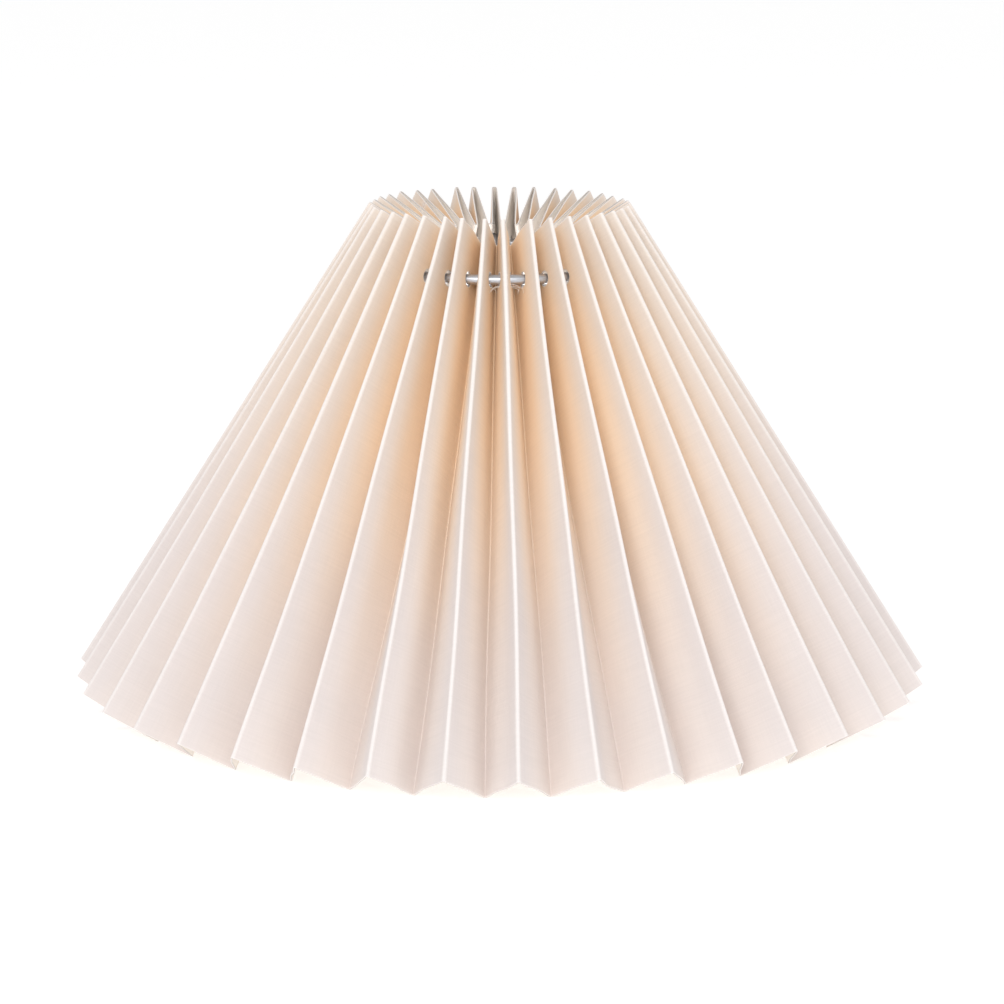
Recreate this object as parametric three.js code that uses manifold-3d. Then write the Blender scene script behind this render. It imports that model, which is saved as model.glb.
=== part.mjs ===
// A pleated lamp shade: one long strip of cloth laminated to a stiff film, folded into a fan, closed into
// a cone and threaded by a wire ring through a hole punched in every pleat wall. Three wire arms hook round
// that ring from the inside and carry the flat ring that a lampholder clamps.
// Millimetres, +Z up. The origin is the centre of the hem's plane, on which the shade stands.
import * as THREE from "three";
import { mergeVertices } from "three/addons/utils/BufferGeometryUtils.js";
import Module from "manifold-3d";

// Cover
const HEM_DIAMETER = 300; // over the outer folds, at the lower edge
const RIM_DIAMETER = 90.4; // over the outer folds, at the upper edge
const STRIP_WIDTH = 195.3; // along the folds, from the upper edge to the hem
const WALL_WIDTH = 21; // from an outer fold to the next inner fold, on the flat strip
const CLOTH_THICKNESS = 0.5; // cloth and film together
const FOLD_RADIUS = 0.8; // of the sheet's middle, at every fold

// Carrier ring and the holes it is threaded through
const HOLE_FROM_RIM = 16.8; // from the upper edge to a hole's centre
const HOLE_FROM_FOLD = 11; // from the outer fold to a hole's centre, inwards
const RING_WIRE = 3.5;
const RING_GAP = 1; // between the ring's two ends, under the sleeve
const SLEEVE_LENGTH = 12;
const SLEEVE_WALL = 0.4;
const SLEEVE_PLAY = 0.15; // between wire and sleeve, all round
const HOLE_PLAY = 0.35; // between sleeve and hole, all round
const PUNCH_LENGTH = 3; // enough to go through one slanting wall and reach no other

// Spider: three hooked arms and the flat ring for an E27 lampholder
const HOLDER_BORE = 41.5;
const HOLDER_DIAMETER = 52;
const HOLDER_THICKNESS = 1.2;
const HOLDER_DROP = 11.34; // from the carrier ring's middle down to the lampholder ring's middle
const ARM_WIRE = 1.8;
const HOOK_PLAY = 0.25; // between the carrier ring and a hook
const ARM_PLAY = 0.09; // at each side of an arm's wire in its pocket, as pocketHalfWidth reckons it
const ARMS = 3;
const ARM_FOOT = 7; // level stretch at an arm's inner end
const HOOK_TURN = THREE.MathUtils.degToRad(265); // how far a hook goes round the ring
const WELD_GAP = 0.3; // between an arm's inner end and the lampholder ring

// Seam
const SEAM_PLACE = 0.6; // of the way round from the front
const TAPE_WIDTH = 12;
const TAPE_THICKNESS = 0.25;
const TAPE_GAP = 0.1; // between the tape and the film
const TAPE_END_MARGIN = 2; // from the tape's ends to the cover's edges

// Facets
const BANDS_BELOW_HOLES = 3; // along each fold, from the holes to the hem
const HOLE_SIDES = 8;
const WIRE_SIDES = 10;
const RING_STEPS_PER_PLEAT = 2;
const SLEEVE_STEPS = 6;
const ARM_STEPS = 30;
const HOLDER_SIDES = 48;

const SLOPE = Math.asin((HEM_DIAMETER - RIM_DIAMETER) / 2 / STRIP_WIDTH); // of the folds, from vertical
const outerRadiusAt = (down) => RIM_DIAMETER / 2 + down * Math.sin(SLOPE);

// How far the inner folds lie behind the outer ones, square to the cone, where the outer folds are at a
// given radius. Every wall keeps its full width, so a wall that spreads sideways has less depth.
function pleatDepth(outerRadius, pleatAngle) {
  const spread = Math.sin(pleatAngle / 4) ** 2;
  const half = 2 * outerRadius * Math.cos(SLOPE) * spread;
  return half + Math.sqrt(half ** 2 - 4 * outerRadius ** 2 * spread + WALL_WIDTH ** 2);
}

// Half the clear space behind an outer fold, between the films of its two walls, at a given level and depth.
function pocketHalfWidth(down, deep, pleatAngle) {
  const outer = outerRadiusAt(down);
  const depth = pleatDepth(outer, pleatAngle);
  const innerRadius = outer - (depth - FOLD_RADIUS) * Math.cos(SLOPE);
  const atInnerFold = innerRadius * Math.sin(pleatAngle / 2) - FOLD_RADIUS * Math.cos(pleatAngle / 2);
  const share = (deep - FOLD_RADIUS) / (depth - 2 * FOLD_RADIUS);
  return THREE.MathUtils.lerp(FOLD_RADIUS, atInnerFold, share) - CLOTH_THICKNESS / 2;
}

// As many pleats as leave room for an arm's wire in a pocket, at the level of its hook's top and the depth
// where the hook comes nearest to the fold. The pocket is narrower there than at the holes, and the more so
// the narrower the rim.
function pleatsThatFit() {
  const reach = RING_WIRE / 2 + HOOK_PLAY + ARM_WIRE;
  const top = HOLE_FROM_RIM - reach;
  const nearest = HOLE_FROM_FOLD - reach;
  let pleats = Math.floor((Math.PI * RIM_DIAMETER) / (4 * FOLD_RADIUS)); // fold against fold at the rim
  while (pocketHalfWidth(top, nearest, (2 * Math.PI) / pleats) < ARM_WIRE / 2 + ARM_PLAY) pleats--;
  return pleats;
}

const PLEATS = pleatsThatFit();
const PLEAT_ANGLE = (2 * Math.PI) / PLEATS;
const depthAt = (down) => pleatDepth(outerRadiusAt(down), PLEAT_ANGLE);
const ARM_PLEATS = Array.from({ length: ARMS }, (_, i) => Math.round((PLEATS * (i + 0.5)) / ARMS));
const SEAM_PLEAT = Math.round(PLEATS * SEAM_PLACE); // the outer fold whose wall is taped

// The inner folds stand on the ground, and the outer folds end this far above it.
const FOLD_END_HEIGHT = (depthAt(STRIP_WIDTH) + CLOTH_THICKNESS / 2) * Math.sin(SLOPE);

// A point at an angle round the axis (0 is the front, -Y), `down` along the fold from the upper edge,
// `deep` behind the outer fold and `aside` from that angle's own plane.
function placed(angle, down, deep, aside) {
  const radius = outerRadiusAt(down) - deep * Math.cos(SLOPE);
  const height = FOLD_END_HEIGHT + (STRIP_WIDTH - down) * Math.cos(SLOPE) - deep * Math.sin(SLOPE);
  return new THREE.Vector3(
    radius * Math.sin(angle) + aside * Math.cos(angle),
    -radius * Math.cos(angle) + aside * Math.sin(angle),
    height,
  );
}

// A point on the middle of the flat wall on one side (-1 or 1) of an outer fold: `share` runs from 0, where
// the outer fold's bend ends, to 1, where the inner fold's begins.
function wallPoint(pleat, side, share, down) {
  const depth = depthAt(down);
  const outer = placed(pleat * PLEAT_ANGLE, down, FOLD_RADIUS, side * FOLD_RADIUS);
  const inner = placed((pleat + side / 2) * PLEAT_ANGLE, down, depth - FOLD_RADIUS, -side * FOLD_RADIUS);
  return outer.lerp(inner, share);
}

// The closed zigzag of the whole cover at one distance down the folds: six points to a pleat.
function coverLoop(down) {
  const depth = depthAt(down);
  const loop = [];
  for (let pleat = 0; pleat < PLEATS; pleat++) {
    loop.push(
      wallPoint(pleat, -1, 0, down),
      placed(pleat * PLEAT_ANGLE, down, 0, 0),
      wallPoint(pleat, 1, 0, down),
      wallPoint(pleat, 1, 1, down),
      placed((pleat + 0.5) * PLEAT_ANGLE, down, depth, 0),
      wallPoint(pleat + 1, -1, 1, down),
    );
  }
  return loop;
}

// A closed solid from rows of points on a surface: the surface moved out by `from` and by `to` along its
// normals, joined round the edges. A `round` sheet's rows close on themselves.
function sheetSolid(rows, from, to, round) {
  const across = rows[0].length;
  const down = rows.length;
  const at = (i, j) =>
    rows[THREE.MathUtils.clamp(i, 0, down - 1)][
      round ? (j + across) % across : THREE.MathUtils.clamp(j, 0, across - 1)
    ];
  const positions = [];
  for (const offset of [from, to]) {
    for (let i = 0; i < down; i++) {
      for (let j = 0; j < across; j++) {
        const sideways = at(i, j + 1).clone().sub(at(i, j - 1));
        const downward = at(i + 1, j).clone().sub(at(i - 1, j));
        const normal = downward.cross(sideways).normalize();
        positions.push(...at(i, j).clone().addScaledVector(normal, offset).toArray());
      }
    }
  }
  const faces = [];
  const index = (layer, i, j) => (layer * down + i) * across + (j % across);
  const quad = (a, b, c, d) => faces.push(a, b, c, a, c, d);
  const columns = round ? across : across - 1;
  for (let j = 0; j < columns; j++) {
    for (let i = 0; i < down - 1; i++) {
      quad(index(1, i, j), index(1, i + 1, j), index(1, i + 1, j + 1), index(1, i, j + 1));
      quad(index(0, i, j), index(0, i, j + 1), index(0, i + 1, j + 1), index(0, i + 1, j));
    }
    const end = down - 1;
    quad(index(0, 0, j), index(1, 0, j), index(1, 0, j + 1), index(0, 0, j + 1));
    quad(index(0, end, j), index(0, end, j + 1), index(1, end, j + 1), index(1, end, j));
  }
  if (!round) {
    const last = across - 1;
    for (let i = 0; i < down - 1; i++) {
      quad(index(0, i, 0), index(0, i + 1, 0), index(1, i + 1, 0), index(1, i, 0));
      quad(index(0, i, last), index(1, i, last), index(1, i + 1, last), index(0, i + 1, last));
    }
  }
  const geometry = new THREE.BufferGeometry();
  geometry.setAttribute("position", new THREE.Float32BufferAttribute(positions, 3));
  geometry.setIndex(faces);
  return geometry;
}

const wasm = await Module();
wasm.setup();

function toSolid(geometry) {
  const bare = geometry.clone();
  bare.deleteAttribute("normal");
  bare.deleteAttribute("uv");
  const merged = mergeVertices(bare, 1e-3);
  return new wasm.Manifold(
    new wasm.Mesh({
      numProp: 3,
      vertProperties: merged.attributes.position.array,
      triVerts: new Uint32Array(merged.index.array),
    }),
  );
}

function toGeometry(solid) {
  const mesh = solid.getMesh();
  const geometry = new THREE.BufferGeometry();
  geometry.setAttribute("position", new THREE.BufferAttribute(mesh.vertProperties, mesh.numProp));
  geometry.setIndex(new THREE.BufferAttribute(mesh.triVerts, 1));
  geometry.computeVertexNormals();
  return geometry;
}

// The carrier ring passes through the middle of every hole, so its size follows from where they are punched.
function holeCentre(pleat, side) {
  const depth = depthAt(HOLE_FROM_RIM);
  const share = (HOLE_FROM_FOLD - FOLD_RADIUS) / (depth - 2 * FOLD_RADIUS);
  return wallPoint(pleat, side, share, HOLE_FROM_RIM);
}
const firstHole = holeCentre(0, 1);
const RING_RADIUS = Math.hypot(firstHole.x, firstHole.y);
const RING_HEIGHT = firstHole.z;
const SLEEVE_BORE = RING_WIRE + 2 * SLEEVE_PLAY;
const SLEEVE_DIAMETER = SLEEVE_BORE + 2 * SLEEVE_WALL;
const HOLE_DIAMETER = SLEEVE_DIAMETER + 2 * HOLE_PLAY;

function holePunch(pleat, side) {
  const centre = holeCentre(pleat, side);
  const punch = new THREE.CylinderGeometry(HOLE_DIAMETER / 2, HOLE_DIAMETER / 2, PUNCH_LENGTH, HOLE_SIDES);
  const outward = new THREE.Vector3(centre.x, centre.y, 0).normalize();
  const tangent = new THREE.Vector3(-outward.y, outward.x, 0);
  const basis = new THREE.Matrix4().makeBasis(outward, tangent, new THREE.Vector3(0, 0, 1));
  punch.applyMatrix4(basis.setPosition(centre));
  return toSolid(punch);
}

// Distances down the folds at which the sheet has a row of points, between two distances from the rim. The
// first band ends just below the holes, so that the walls are nearly true where the wires pass.
function rowsDown(top, bottom) {
  const levels = [top];
  for (let band = 0; band <= BANDS_BELOW_HOLES; band++) {
    levels.push(THREE.MathUtils.lerp(HOLE_FROM_RIM + HOLE_DIAMETER, bottom, band / BANDS_BELOW_HOLES));
  }
  return levels;
}

function pleatedCover() {
  const rows = rowsDown(0, STRIP_WIDTH).map(coverLoop);
  let cover = toSolid(sheetSolid(rows, -CLOTH_THICKNESS / 2, CLOTH_THICKNESS / 2, true));
  for (let pleat = 0; pleat < PLEATS; pleat++) {
    for (const side of [-1, 1]) cover = cover.subtract(holePunch(pleat, side));
  }
  return toGeometry(cover);
}

// The strip's two ends meet on one wall, where a tape on the film side holds them together.
function seamTape() {
  const rows = rowsDown(TAPE_END_MARGIN, STRIP_WIDTH - TAPE_END_MARGIN).map((down) => {
    const margin = (1 - TAPE_WIDTH / (WALL_WIDTH - 2 * FOLD_RADIUS)) / 2;
    return [margin, 1 - margin].map((share) => wallPoint(SEAM_PLEAT, 1, share, down));
  });
  const face = CLOTH_THICKNESS / 2 + TAPE_GAP;
  const tape = toSolid(sheetSolid(rows, -face - TAPE_THICKNESS, -face, false));
  return toGeometry(tape.subtract(holePunch(SEAM_PLEAT, 1)));
}

const round = (diameter) => new THREE.Shape().absarc(0, 0, diameter / 2, 0, 2 * Math.PI);

// An arc of the carrier ring's own circle. The ring's two ends meet at angle 0, which is +X before the ring
// is turned.
class RingArc extends THREE.Curve {
  constructor(start, end) {
    super();
    this.start = start;
    this.end = end;
  }
  getPoint(share, target = new THREE.Vector3()) {
    const angle = THREE.MathUtils.lerp(this.start, this.end, share);
    return target.set(RING_RADIUS * Math.cos(angle), RING_RADIUS * Math.sin(angle), 0);
  }
}

function sweep(shape, path, steps) {
  return new THREE.ExtrudeGeometry(shape, { extrudePath: path, steps, curveSegments: WIRE_SIDES / 2 });
}

function carrierRing() {
  const half = RING_GAP / 2 / RING_RADIUS;
  return sweep(round(RING_WIRE), new RingArc(half, 2 * Math.PI - half), RING_STEPS_PER_PLEAT * PLEATS);
}

function ringSleeve() {
  const section = round(SLEEVE_DIAMETER);
  section.holes.push(round(SLEEVE_BORE));
  const half = SLEEVE_LENGTH / 2 / RING_RADIUS;
  return sweep(section, new RingArc(-half, half), SLEEVE_STEPS);
}

function lampholderRing() {
  const section = round(HOLDER_DIAMETER);
  section.holes.push(round(HOLDER_BORE));
  const plate = new THREE.ExtrudeGeometry(section, {
    depth: HOLDER_THICKNESS,
    bevelEnabled: false,
    curveSegments: HOLDER_SIDES / 2,
  });
  return plate.translate(0, 0, RING_HEIGHT - HOLDER_DROP - HOLDER_THICKNESS / 2);
}

// An arm leaves the lampholder ring's edge, rises to pass under the carrier ring and curls round it.
// It is drawn in the plane of X and Z, with the carrier ring's section at (RING_RADIUS, RING_HEIGHT).
function spiderArm() {
  const hookRadius = (RING_WIRE + ARM_WIRE) / 2 + HOOK_PLAY;
  const start = HOLDER_DIAMETER / 2 + WELD_GAP;
  const bend = start + ARM_FOOT; // where the level foot and the slope would meet
  const floor = RING_HEIGHT - HOLDER_DROP;
  const toRing = Math.hypot(RING_RADIUS - bend, HOLDER_DROP);
  const slope = Math.atan2(HOLDER_DROP, RING_RADIUS - bend) - Math.asin(hookRadius / toRing);
  const onHook = (angle) => [
    RING_RADIUS + hookRadius * Math.cos(angle),
    RING_HEIGHT + hookRadius * Math.sin(angle),
  ];
  const first = slope - Math.PI / 2;
  const [tangentX, tangentZ] = onHook(first);
  const onSlope = (share) => [
    THREE.MathUtils.lerp(bend, tangentX, share),
    THREE.MathUtils.lerp(floor, tangentZ, share),
  ];
  const points = [[start, floor], [(start + bend) / 2, floor], onSlope(0.15), onSlope(0.6)];
  const bends = 9; // points along the hook, after the first
  for (let i = 0; i <= bends; i++) points.push(onHook(first + (HOOK_TURN * i) / bends));
  const path = new THREE.CatmullRomCurve3(points.map(([x, z]) => new THREE.Vector3(x, 0, z)));
  return sweep(round(ARM_WIRE), path, ARM_STEPS);
}

const clothFinish = new THREE.MeshStandardMaterial({ color: 0xf3e6da, roughness: 0.9, metalness: 0 });
const tapeFinish = new THREE.MeshStandardMaterial({ color: 0xe9e6df, roughness: 0.5, metalness: 0 });
const zincFinish = new THREE.MeshStandardMaterial({ color: 0xb4b7bd, roughness: 0.35, metalness: 1 });

const shade = new THREE.Group();

function add(name, geometry, finish, parent = shade) {
  const mesh = new THREE.Mesh(geometry, finish);
  mesh.name = name;
  parent.add(mesh);
  return mesh;
}

add("pleated_cover", pleatedCover(), clothFinish);
add("seam_tape", seamTape(), tapeFinish);
add("lampholder_ring", lampholderRing(), zincFinish);

// Angles above run from the front (-Y); a mesh drawn along +X turns by a quarter less.
const fromFront = (pleat) => pleat * PLEAT_ANGLE - Math.PI / 2;
ARM_PLEATS.forEach((pleat, i) => {
  add(`spider_arm_${i + 1}`, spiderArm(), zincFinish).rotation.z = fromFront(pleat);
});

const ring = new THREE.Group();
ring.position.z = RING_HEIGHT;
ring.rotation.z = fromFront((ARM_PLEATS[0] + ARM_PLEATS[1]) / 2);
add("carrier_ring", carrierRing(), zincFinish, ring);
add("ring_sleeve", ringSleeve(), zincFinish, ring);
shade.add(ring);

export default shade;
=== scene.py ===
# %% [markdown]
# # A pleated cone lamp shade
# The real object is one long strip of cloth, glued all over to a stiff film, folded to and fro into a fan
# and closed into a cone. A wire ring is threaded through a hole in every wall, and three hooked arms carry
# the flat ring that a lampholder clamps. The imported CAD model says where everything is. This script keeps
# those places and makes the surfaces that a person sees: cloth, film, tape, loose threads and zinc-plated
# wire.

# %% Load the frame
import math

import bpy
import numpy as np
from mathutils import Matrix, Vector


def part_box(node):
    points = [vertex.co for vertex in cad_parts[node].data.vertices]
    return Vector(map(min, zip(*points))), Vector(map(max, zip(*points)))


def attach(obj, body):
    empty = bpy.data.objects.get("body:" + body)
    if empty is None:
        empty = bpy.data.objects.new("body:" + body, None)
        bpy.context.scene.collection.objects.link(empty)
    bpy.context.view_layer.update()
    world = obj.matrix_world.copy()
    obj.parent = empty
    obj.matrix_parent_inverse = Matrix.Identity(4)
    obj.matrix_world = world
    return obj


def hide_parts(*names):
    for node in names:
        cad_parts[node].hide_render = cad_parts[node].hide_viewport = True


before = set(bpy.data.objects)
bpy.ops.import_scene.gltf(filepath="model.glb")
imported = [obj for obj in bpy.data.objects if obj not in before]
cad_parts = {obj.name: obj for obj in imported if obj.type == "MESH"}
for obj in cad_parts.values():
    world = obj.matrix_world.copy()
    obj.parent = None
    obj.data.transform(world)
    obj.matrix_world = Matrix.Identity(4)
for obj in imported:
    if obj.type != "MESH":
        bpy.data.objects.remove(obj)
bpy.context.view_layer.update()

print("CAD nodes:", sorted(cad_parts))

# %% [markdown]
# ## Camera
# The shade is seen from about 1.25 m away with a long lens, a little from above. The camera comes first,
# because everything after it is judged through it. It stands a few degrees to the left of the front outer
# fold, so that this fold shows just right of the middle.

# %% Camera
CAMERA_DISTANCE = 1.2310
CAMERA_HEIGHT = 0.3303
CAMERA_TURN = math.radians(-2.57)
CAMERA_TILT = math.radians(-12.01)
LENS = 127.85
LENS_SHIFT = 0.002


def add_camera():
    """Places the camera on a circle round the shade's axis, turned to face the axis and tilted down."""
    data = bpy.data.cameras.new("studio_camera")
    data.lens = LENS
    data.sensor_width = 36.0
    data.shift_x = LENS_SHIFT
    camera = bpy.data.objects.new("studio_camera", data)
    camera.location = (
        CAMERA_DISTANCE * math.sin(CAMERA_TURN),
        -CAMERA_DISTANCE * math.cos(CAMERA_TURN),
        CAMERA_HEIGHT,
    )
    camera.rotation_euler = (math.pi / 2 + CAMERA_TILT, 0.0, CAMERA_TURN)
    bpy.context.scene.collection.objects.link(camera)
    bpy.context.scene.camera = camera
    return camera


camera = add_camera()
print("camera at", [round(c, 3) for c in camera.location])

# %% [markdown]
# ## Driving dimensions
# The strip's sizes are the cutter's and folder's sizes, in metres. Ring, arms and lampholder ring take theirs
# from the CAD boxes, so that a piece made here can't drift from the solid that it stands for.

# %% Sizes of the strip, and of the wires as the frame has them
MM = 0.001
PLEATS = 38
FOLDS = 2 * PLEATS
HEM_DIAMETER = 300 * MM
RIM_DIAMETER = 90.4 * MM
STRIP_WIDTH = 195.3 * MM
WALL_WIDTH = 21 * MM
CLOTH_THICKNESS = 0.5 * MM
FOLD_RADIUS = 0.8 * MM
CRISP_RADIUS = 0.45 * MM
HOLE_FROM_RIM = 16.8 * MM
HOLE_FROM_FOLD = 11 * MM
HOLE_RADIUS = 2.65 * MM
SEAM_WALL = 2 * 23

HALF_PLEAT = math.pi / PLEATS
SLOPE = math.asin((HEM_DIAMETER - RIM_DIAMETER) / 2 / STRIP_WIDTH)
SIN_SLOPE, COS_SLOPE = math.sin(SLOPE), math.cos(SLOPE)


def box_of(node):
    """A CAD node's lowest and highest corner."""
    return [np.array(corner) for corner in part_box(node)]


ring_low, ring_high = box_of("carrier_ring")
RING_WIRE = ring_high[2] - ring_low[2]
RING_RADIUS = (ring_high[0] - ring_low[0] - RING_WIRE) / 2
RING_HEIGHT = (ring_high[2] + ring_low[2]) / 2
holder_low, holder_high = box_of("lampholder_ring")
HOLDER_RADIUS = (holder_high[0] - holder_low[0]) / 2
HOLDER_THICKNESS = holder_high[2] - holder_low[2]
HOLDER_HEIGHT = (holder_high[2] + holder_low[2]) / 2
back_arm_low, back_arm_high = box_of("spider_arm_2")
ARM_WIRE = back_arm_high[0] - back_arm_low[0]
ARM_START = back_arm_low[1]
print(f"slope {math.degrees(SLOPE):.2f} degrees, ring radius {RING_RADIUS * 1000:.2f} mm at height "
      f"{RING_HEIGHT * 1000:.2f} mm, ring wire {RING_WIRE * 1000:.2f} mm, arm wire {ARM_WIRE * 1000:.2f} mm")

# %% [markdown]
# ## How a strip becomes a cone
# Folds are numbered round the strip: even ones are outer folds, odd ones inner folds, and wall `w` runs from
# fold `w` to fold `w + 1`. Every wall is a flat band of the same width, so where the cone is wide the walls
# spread sideways and lie less deep. That one rule gives the whole shape: the deep, narrow pockets at the rim,
# the open zigzag at the hem, and outer folds that end higher than inner ones at both edges.

# %% The cone's own coordinates


def unit(vectors):
    """Each vector divided by its own length."""
    return vectors / np.linalg.norm(vectors, axis=-1, keepdims=True)


def outer_radius(down):
    """The outer folds' distance from the axis grows evenly with the distance down the fold."""
    return RIM_DIAMETER / 2 + down * SIN_SLOPE


def pleat_depth(radius):
    """How far an inner fold lies behind the outer ones, square to the cone, for walls of full width: the
    root of depth squared less depth times the cone's spread plus the chord squared equals width squared."""
    spread = math.sin(HALF_PLEAT / 2) ** 2
    half = 2 * radius * COS_SLOPE * spread
    return half + np.sqrt(half**2 - 4 * radius**2 * spread + WALL_WIDTH**2)


HEM_DEPTH = pleat_depth(HEM_DIAMETER / 2)
FOLD_END_HEIGHT = (HEM_DEPTH + CLOTH_THICKNESS / 2) * SIN_SLOPE


def placed(angle, down, deep):
    """A point at an angle from the front, a distance down the fold, and so deep behind the outer folds."""
    radius = outer_radius(down) - deep * COS_SLOPE
    height = FOLD_END_HEIGHT + (STRIP_WIDTH - down) * COS_SLOPE - deep * SIN_SLOPE
    return np.stack([radius * np.sin(angle), -radius * np.cos(angle), height], axis=-1)


def inward(angle):
    """The direction in which depth is measured: towards the axis and down, square to the cone."""
    level = np.ones_like(angle)
    return np.stack([-COS_SLOPE * np.sin(angle), COS_SLOPE * np.cos(angle), -SIN_SLOPE * level], axis=-1)


print(f"pleats are {HEM_DEPTH * 1000:.1f} mm deep at the hem and "
      f"{pleat_depth(RIM_DIAMETER / 2) * 1000:.1f} mm at the rim")

# %% [markdown]
# ## No two pleats are quite alike
# A fan of stiff cloth is pushed along its ring by hand. Near the rim, where nothing but the ring holds them,
# the folds stand a degree or so off their places, and a wall is never quite flat. The front folds get
# listed leans and all others get seeded random ones. The pockets that hold an arm stay true, so that
# cloth and wire keep clear of each other.

# %% Leans, slips and bows, one value for each fold or wall
rng = np.random.default_rng(38)
ARM_FOLDS = np.array([2 * 6, 2 * 19, 2 * 32])
RIM_LEAN = np.radians(rng.normal(0, 0.75, FOLDS))
HEM_LEAN = np.radians(rng.normal(0, 0.2, FOLDS))
FRONT_LEANS = {-3: 1.5, -2: -0.3, -1: 0.4, 0: -1.4, 1: 1.1, 2: 0.7, 3: 0.2, 4: 0.4}
for pleat, degrees in FRONT_LEANS.items():
    RIM_LEAN[2 * pleat] = math.radians(degrees)
WAVE_PHASE = rng.uniform(0, 2 * math.pi, FOLDS)
WAVE_ANGLE = np.radians(0.10)
WAVE_LENGTH = 110 * MM
DEPTH_ERROR = rng.normal(0, 0.22, FOLDS) * MM
END_SLIP = -(0.25 + np.abs(rng.normal(0, 0.28, FOLDS))) * MM
WALL_BOW = rng.normal(0.15, 0.42, FOLDS) * MM
WALL_CURL = rng.normal(0, 0.25, FOLDS) * MM
RIM_LEAN_REACH = 45 * MM

# %% Pockets that hold an arm keep the full fold radius and stay true
from_arm = np.abs((np.arange(FOLDS)[:, None] - ARM_FOLDS[None, :] + PLEATS) % FOLDS - PLEATS).min(axis=1)
KEPT_TRUE = np.clip((from_arm - 1.5) / 2, 0, 1)
for amounts in (RIM_LEAN, HEM_LEAN, DEPTH_ERROR, WALL_BOW, WALL_CURL):
    amounts *= KEPT_TRUE
BEND = FOLD_RADIUS + (CRISP_RADIUS - FOLD_RADIUS) * KEPT_TRUE
print("largest lean at the rim:", round(float(np.degrees(np.abs(RIM_LEAN).max())), 2), "degrees")

# %% [markdown]
# ## The middle of the sheet
# A fold is a small round bend and a wall is the straight line that touches two neighbouring bends from
# opposite sides, like a belt crossed over two pulleys. Any point of the strip is then known from its wall,
# its distance along the wall and its distance down the fold.

# %% Folds and walls


def fold_line(fold, down):
    """The centre of a fold's bend, and the direction from it to the fold's crest."""
    fold = fold % FOLDS
    is_outer = fold % 2 == 0
    lean = RIM_LEAN[fold] * np.exp(-down / RIM_LEAN_REACH) + HEM_LEAN[fold] * down / STRIP_WIDTH
    lean = lean + KEPT_TRUE[fold] * WAVE_ANGLE * np.sin(2 * math.pi * down / WAVE_LENGTH + WAVE_PHASE[fold])
    angle = fold * HALF_PLEAT + lean
    depth = pleat_depth(outer_radius(down))
    deep = np.where(is_outer, BEND[fold], depth - BEND[fold]) + DEPTH_ERROR[fold]
    crest = np.where(is_outer, -1.0, 1.0)[..., None] * inward(angle)
    return placed(angle, down + END_SLIP[fold], deep), crest


def turned(start, end, share):
    """The direction a share of the way round from one unit vector to another, at an even pace."""
    between = np.arccos(np.clip((start * end).sum(-1), -1, 1))[..., None]
    share = share[..., None]
    return (np.sin((1 - share) * between) * start + np.sin(share * between) * end) / np.sin(between)


def strip_point(wall, along, down):
    """The sheet's middle at a distance along a wall, from 0 at its first crest to WALL_WIDTH at its second.
    The two bends and the straight between them are measured, and `along` is spread evenly over all three.
    A bow of half a wave and a curl of a whole one, in proportion to the distance down, keep the straight
    part from being a ruled line."""
    first, crest_a = fold_line(wall, down)
    second, crest_b = fold_line(wall + 1, down)
    radius_a, radius_b = BEND[wall % FOLDS], BEND[(wall + 1) % FOLDS]
    step = second - first
    behind = -(step * crest_a).sum(-1)
    sideways = step + behind[..., None] * crest_a
    aside = np.linalg.norm(sideways, axis=-1)
    sideways = sideways / aside[..., None]
    reach = np.hypot(aside, behind)
    lean = np.arctan2(aside, behind) - np.arcsin((radius_a + radius_b) / reach)
    face = np.cos(lean)[..., None] * sideways + np.sin(lean)[..., None] * crest_a
    bend_a = radius_a * (math.pi / 2 - lean)
    bend_b = radius_b * np.arccos(np.clip(-(face * crest_b).sum(-1), -1, 1))
    leave = first + radius_a[..., None] * face
    arrive = second - radius_b[..., None] * face
    straight = np.linalg.norm(arrive - leave, axis=-1)
    travelled = along / WALL_WIDTH * (bend_a + straight + bend_b)
    share = np.clip((travelled - bend_a) / straight, 0, 1)
    bow = WALL_BOW[wall % FOLDS] * np.sin(math.pi * share) ** 2
    curl = WALL_CURL[wall % FOLDS] * np.sin(2 * math.pi * share) * np.sin(math.pi * share)
    outward = np.where(wall % 2 == 0, 1.0, -1.0)
    lift = outward * (bow + curl) * (0.35 + 0.65 * down / STRIP_WIDTH)
    on_wall = leave + share[..., None] * (arrive - leave) + lift[..., None] * face
    on_a = first + radius_a[..., None] * turned(crest_a, face, travelled / bend_a)
    late = (travelled - bend_a - straight) / bend_b
    on_b = second + radius_b[..., None] * turned(-face, crest_b, late)
    in_a = (travelled < bend_a)[..., None]
    in_b = (travelled > bend_a + straight)[..., None]
    return np.where(in_a, on_a, np.where(in_b, on_b, on_wall))


def strip_normal(wall, along, down):
    """The outward direction square to the sheet: the step down crossed with the step along, each taken
    between two points a twentieth of a millimetre either side."""
    step = 0.05 * MM
    below = strip_point(wall, along, down + step)
    above = strip_point(wall, along, down - step)
    ahead = strip_point(wall, along + step, down)
    behind = strip_point(wall, along - step, down)
    return unit(np.cross(below - above, ahead - behind))


front = strip_point(np.array([0]), np.array([0.0]), np.array([0.0]))[0]
print("front crest at the rim:", np.round(front * 1000, 2), "mm")

# %% [markdown]
# ## Where the ring goes through
# The holes are punched where the ring's circle crosses each wall. The walls lean a little this way and that,
# so each crossing is found by Newton's method: guess, see how far the point is from the circle in radius and
# in height, and correct along and down the wall.

# %% Find the 76 crossings


def ring_error(wall, along, down):
    """How far a point of the sheet is outside the ring's circle, and how far above it."""
    point = strip_point(wall, along, down)
    return np.stack([np.hypot(point[:, 0], point[:, 1]) - RING_RADIUS, point[:, 2] - RING_HEIGHT], axis=-1)


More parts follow.
